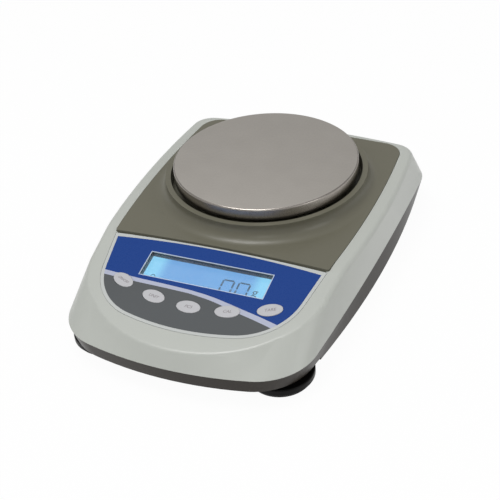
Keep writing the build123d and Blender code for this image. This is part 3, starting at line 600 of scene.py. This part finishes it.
grey_left = meet(stripe_bottom, border, -1)
grey_right = meet(stripe_bottom, border, 1)
left_end = -film_half_width(grey_left, border)
right_end = film_half_width(grey_right, border)
lower_edge = [(u, film_bottom(u, border))
              for u in [left_end + (right_end - left_end) * step / 90
                        for step in range(1, 90)]]
grey_area = dividing_points(stripe_bottom, left_end, right_end)[::-1] + lower_edge
window = oblong(-43.9, 17.0, 43.9, 38.3)
key_gap = 0.2
holes = [key_oval(u, v, key_gap) for u, v in key_centres]
print("blue outline points:", len(blue_area), "grey:", len(grey_area))

# %% [markdown]
# ## Cutting the holes
# A key that sits across the edge of a printed area, as the first and the fourth do, can't be a
# hole in it, because a hole has to lie wholly inside. So each sheet is filled whole, and a boolean
# cut with short oval and oblong cutters takes the keys and the window out of it.

# %% Print the stripe and the two areas
def without(sheet, outlines, place):
    """Cut closed outlines out of a printed sheet."""
    cutter = bmesh.new()
    for outline in outlines:
        loop = [cutter.verts.new((u, -v, -2)) for u, v in outline]
        base = cutter.faces.new(loop)
        risen = bmesh.ops.extrude_face_region(cutter, geom=[base])
        tops = [part for part in risen["geom"] if isinstance(part, bmesh.types.BMVert)]
        bmesh.ops.translate(cutter, verts=tops, vec=(0, 0, 4))
    bmesh.ops.recalc_face_normals(cutter, faces=cutter.faces)
    bmesh.ops.transform(cutter, matrix=place, verts=cutter.verts)
    mesh = bpy.data.meshes.new("cutter")
    cutter.to_mesh(mesh)
    cutter.free()
    tool = bpy.data.objects.new("cutter", mesh)
    bpy.context.scene.collection.objects.link(tool)
    cut = sheet.modifiers.new("cut", "BOOLEAN")
    cut.object = tool
    cut.operation = "DIFFERENCE"
    cut.solver = "EXACT"
    bpy.context.view_layer.update()
    view = bpy.context.evaluated_depsgraph_get()
    result = bpy.data.meshes.new_from_object(sheet.evaluated_get(view))
    sheet.modifiers.clear()
    sheet.data = result
    bpy.data.objects.remove(tool)
    return len(result.polygons)


ink_place = on_panel()
stripe_area = (dividing_points(stripe_top, -film_half_width(blue_left, border),
                               film_half_width(blue_right, border))
               + dividing_points(stripe_bottom, left_end, right_end)[::-1])
stripe_sheet = sheet_of("stripe_print", [stripe_area], ink_place, stripe_ink)
print("stripe faces:", without(stripe_sheet, holes, ink_place))
blue_sheet = sheet_of("blue_print", [blue_area], ink_place, blue_ink)
grey_sheet = sheet_of("grey_print", [grey_area], ink_place, grey_ink)
print("blue faces:", without(blue_sheet, holes + [window], ink_place))
print("grey faces:", without(grey_sheet, holes, ink_place))

# %% [markdown]
# ## Painted highlight round the window
# A thin pale line frames the window: a painted highlight for the light caught on the window's edge.
# It is one outline inside another, which the flat curve fills as a ring.

# %% Paint the highlight line round the window
sheet_of("painted_window_edge_line", [window, oblong(-43.3, 17.6, 43.3, 37.7)], ink_place, window_edge_highlight_paint)

# %% [markdown]
# ## What the display shows
# The cell's segments are dark liquid crystal behind the lit field. A seven-segment zero is six
# slim hexagons, a decimal point and a small unit letter follow, and a little ring at the lower left
# says that the reading is stable. They lie on the cell's face, almost 5 mm below the film.

# %% Draw the reading
def segment(start, end, thick):
    """Slim hexagon between two corners of a digit."""
    (u0, v0), (u1, v1) = start, end
    length = math.hypot(u1 - u0, v1 - v0)
    du, dv = (u1 - u0) / length, (v1 - v0) / length
    half = thick / 2
    gap = 0.18
    points = []
    for along, aside in ((gap, 0), (half + gap, half), (length - half - gap, half),
                         (length - gap, 0), (length - half - gap, -half), (half + gap, -half)):
        points.append((u0 + du * along - dv * aside, v0 + dv * along + du * aside))
    return points


def zero(left, top, width, height, thick=1.25):
    """Outlines of a seven-segment zero."""
    middle = top + height / 2
    corners = {"a": (left, top), "b": (left + width, top), "c": (left + width, middle),
               "d": (left + width, top + height), "e": (left, top + height), "f": (left, middle)}
    order = "abcdefa"
    return [segment(corners[a], corners[b], thick) for a, b in zip(order, order[1:])]


cell_place = on_panel(-4.96)
digit_top, digit_width, digit_height = 25.2, 7.6, 12.4
reading = (zero(11.2, digit_top, digit_width, digit_height)
           + zero(22.2, digit_top, digit_width, digit_height) + [ring_of(20.5, 37.4, 0.8, 20)])
sheet_of("reading_digits", reading, cell_place, crystal)
sheet_of("stable_mark", [ring_of(-36.4, 34.0, 1.7), ring_of(-36.4, 34.0, 1.15)], cell_place,
         crystal)
unit = bpy.data.curves.new("unit_letter", "FONT")
unit.body = "g"
unit.size = 9.0
unit.align_x = "CENTER"
place_flat("unit_letter", unit, cell_place @ Matrix.Translation((35.0, -33.4, 0)), crystal,
           "case")

# %% [markdown]
# ## Legends on the keys
# The legends are pad-printed, so each is a text turned to a mesh and laid on its own key, and it
# travels with that key. Each is turned as its key is, and they only name what every balance's
# keys do.

# %% Print the key legends
legend_height = 0.33
legends = ["ON/OFF", "UNIT", "PCS", "CAL", "TARE"]
for (u, v), legend, key in zip(key_centres, legends, finishes[key_abs]):
    text = bpy.data.curves.new(key + "_legend", "FONT")
    text.body = legend
    text.size = 3.1 if len(legend) < 6 else 2.6
    text.shear = 0.2
    text.align_x = "CENTER"
    text.align_y = "CENTER"
    turned = Matrix.Rotation(math.asin(u / key_arc), 4, "Z")
    place_flat(key + "_legend", text,
               on_panel(legend_height) @ Matrix.Translation((u, -v, 0)) @ turned,
               legend_ink, key)

# %% [markdown]
# ## Floor and light
# The picture was taken on a white sweep, so only a faint shadow grounds the balance. The floor
# takes light like paper, but towards the camera and in reflections most of it comes from a plain
# white, which keeps the shadow soft and the colour of the object untouched. A large soft lamp hangs
# high over the balance, a little to the left. A small one in front lifts the edges that face the
# camera, a weaker one fills from the right, and a pale world rounds out the shade.

# %% Lay the floor
floor_work = bmesh.new()
bmesh.ops.create_grid(floor_work, x_segments=1, y_segments=1, size=3.0)
floor_mesh = bpy.data.meshes.new("paper_sweep")
floor_work.to_mesh(floor_mesh)
floor_work.free()
floor = bpy.data.objects.new("paper_sweep", floor_mesh)
bpy.context.scene.collection.objects.link(floor)
paper, paper_shader = plain_finish("white_paper_sweep", "#F4F4F4", 0.9)
rays = add_node(paper, "ShaderNodeLightPath")
seen = add_node(paper, "ShaderNodeMath",
                {0: rays.outputs["Is Camera Ray"], 1: rays.outputs["Is Glossy Ray"]},
                operation="ADD", use_clamp=True)
shown = add_node(paper, "ShaderNodeMath",
                 {0: seen.outputs[0], 1: rays.outputs["Is Transmission Ray"]},
                 operation="ADD", use_clamp=True)
plain_white_share = 0.96
share = add_node(paper, "ShaderNodeMath", {0: shown.outputs[0], 1: plain_white_share},
                 operation="MULTIPLY")
white = add_node(paper, "ShaderNodeEmission", {"Color": (1, 1, 1, 1), "Strength": 1.0})
blend = add_node(paper, "ShaderNodeMixShader",
                 {0: share.outputs[0], 1: paper_shader.outputs[0], 2: white.outputs[0]})
paper_out = paper.node_tree.nodes["Material Output"]
paper.node_tree.links.new(blend.outputs[0], paper_out.inputs["Surface"])
floor_mesh.materials.append(paper)

# %% Hang the lamps
lamp_aim = Vector((0, 0, 30)) * mm


def soft_lamp(name, place, size, power):
    """White square area lamp that points at the balance."""
    data = bpy.data.lights.new(name, "AREA")
    data.size = size
    data.energy = power
    lamp = bpy.data.objects.new(name, data)
    lamp.location = Vector(place)
    lamp.rotation_euler = (lamp_aim - Vector(place)).to_track_quat("-Z", "Y").to_euler()
    bpy.context.scene.collection.objects.link(lamp)


soft_lamp("key_lamp", (-0.22, -0.12, 1.25), 0.5, 7.7)
soft_lamp("front_lamp", (0.27, -0.95, 0.86), 0.16, 0.9)
soft_lamp("fill_lamp", (1.1, -0.3, 0.6), 0.5, 1.7)

world = bpy.data.worlds.new("studio_surround")
bpy.context.scene.world = world
world.use_nodes = True
surround = world.node_tree.nodes["Background"]
surround_level = 0.435
world_rays = add_node(world, "ShaderNodeLightPath")
world_seen = add_node(world, "ShaderNodeMath",
                      {0: world_rays.outputs["Is Camera Ray"],
                       1: world_rays.outputs["Is Transmission Ray"]},
                      operation="ADD", use_clamp=True)
world_level = add_node(world, "ShaderNodeMapRange",
                       {"Value": world_seen.outputs[0], "To Min": surround_level, "To Max": 1.0})
world.node_tree.links.new(world_level.outputs["Result"], surround.inputs["Strength"])
surround.inputs["Color"].default_value = (1, 1, 1, 1)
bpy.context.scene.view_settings.view_transform = "Standard"
